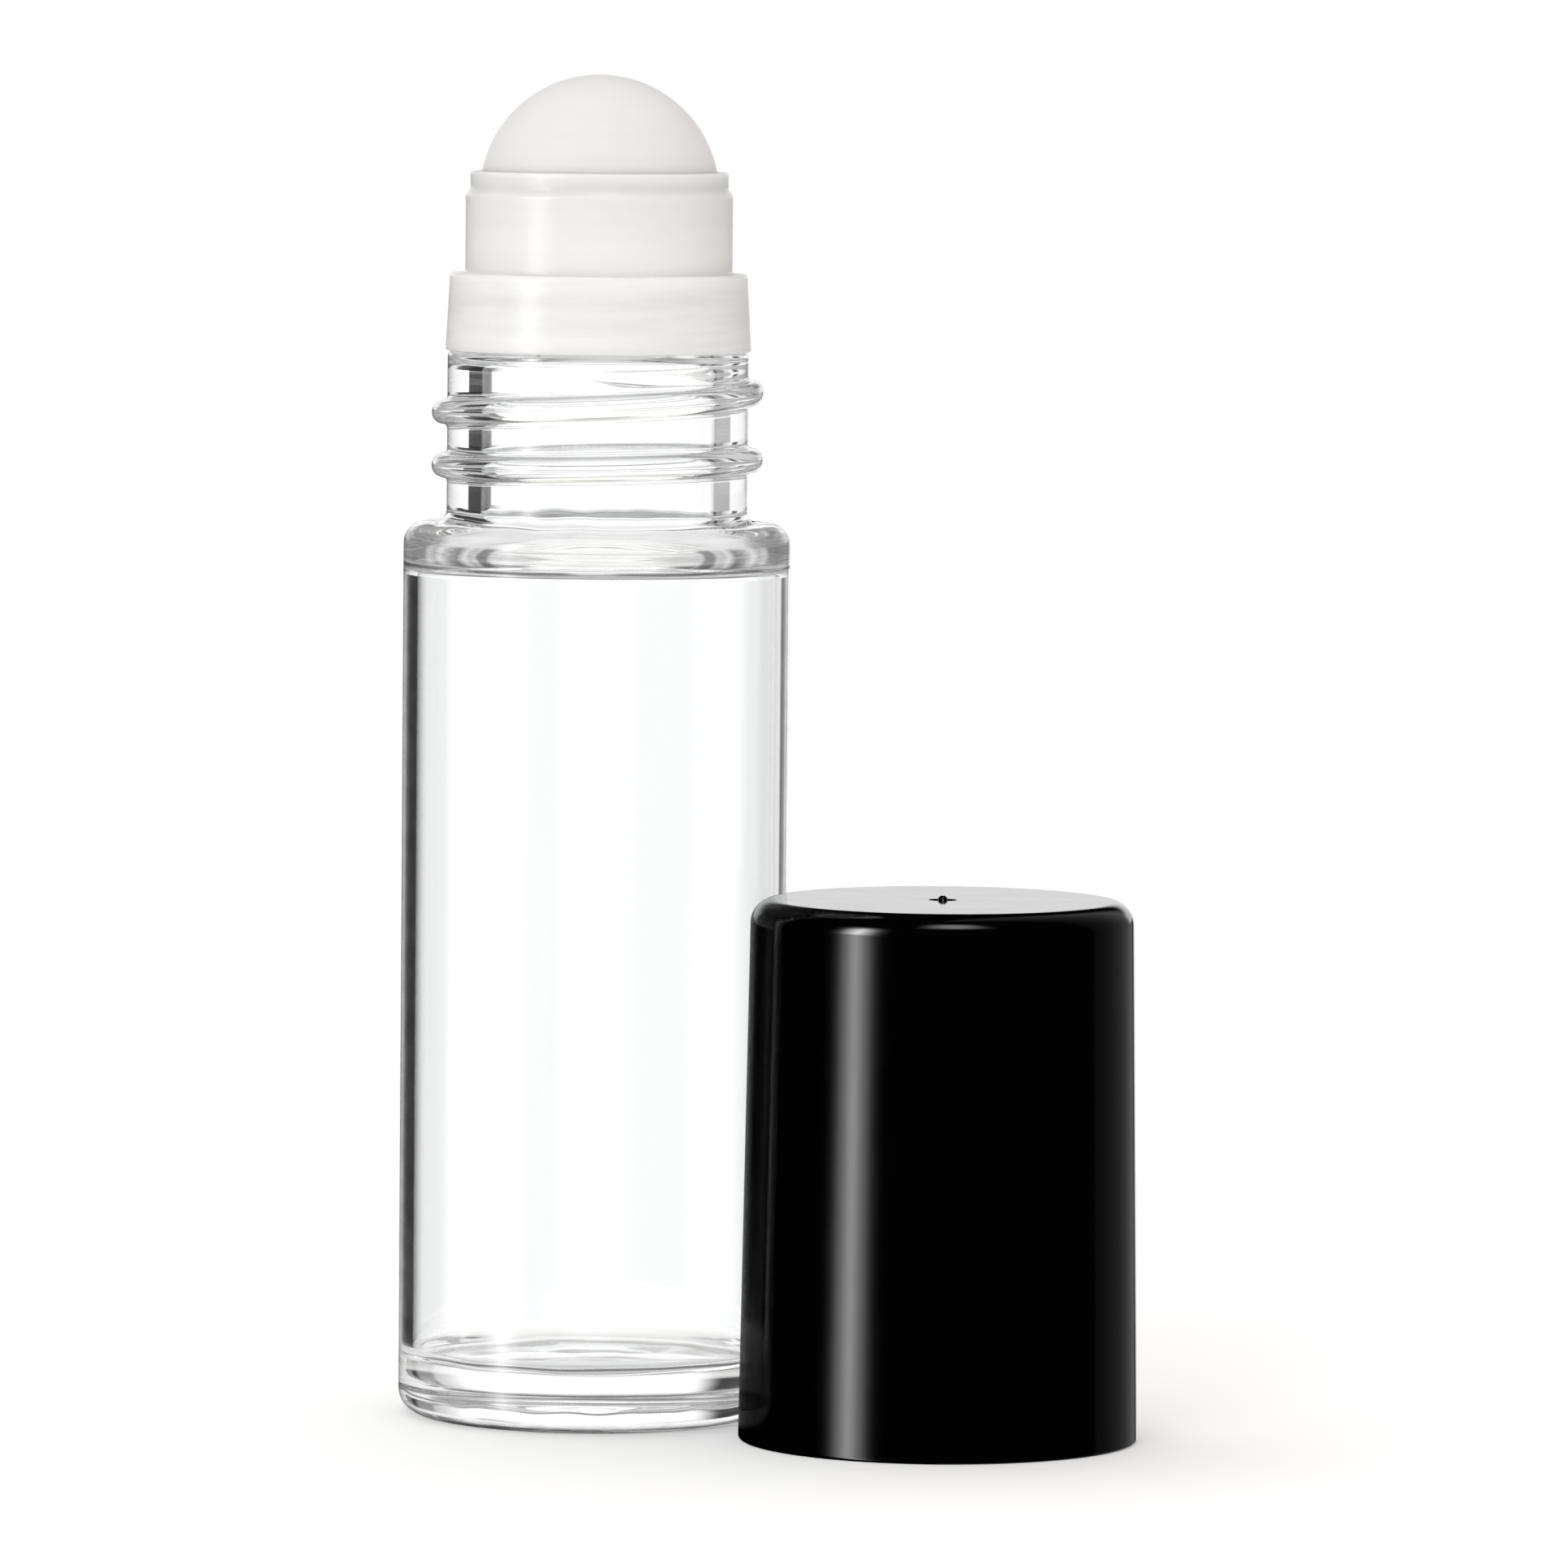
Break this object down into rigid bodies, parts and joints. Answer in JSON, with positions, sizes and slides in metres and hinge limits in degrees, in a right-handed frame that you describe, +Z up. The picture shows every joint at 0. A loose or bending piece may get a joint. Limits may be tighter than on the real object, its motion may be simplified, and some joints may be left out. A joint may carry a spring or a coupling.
{
  "type": "roll on bottle",
  "caption": "Refillable roll-on bottle: clear glass body with threaded neck, press-in ball housing, free-turning roller ball and a screw cap standing beside it.",
  "frame": {"origin": "centre of the bottle's foot ring, on the surface that the bottle and its cap stand on", "axes": "+Z up along the bottle's axis, +X to the right and +Y away from the viewer of the picture; the cap stands to the right and in front"},
  "size_m": [0.0531, 0.0415, 0.0966],
  "materials": {
    "clear_glass": "fire-polished clear flint glass",
    "natural_pp": "natural polypropylene, milky and slightly translucent, semi-gloss",
    "ball_pp": "natural polypropylene, smooth and semi-gloss",
    "black_pp": "high-gloss black polypropylene"
  },
  "bodies": {
    "bottle": {"glass_bottle": "clear_glass", "ball_housing": "natural_pp"},
    "ball": {"roller_ball": "ball_pp"},
    "cap": {"screw_cap": "black_pp"}
  },
  "joints": [
    {"name": "ball_roll", "type": "hinge", "parent": "bottle", "child": "ball", "pos_m": [0, 0, 0.088], "axis": [1, 0, 0], "continuous": true},
    {"name": "cap_lift", "type": "slide", "parent": "bottle", "child": "cap", "axis": [0, 0, 1], "range_m": [0, 0.1]}
  ]
}
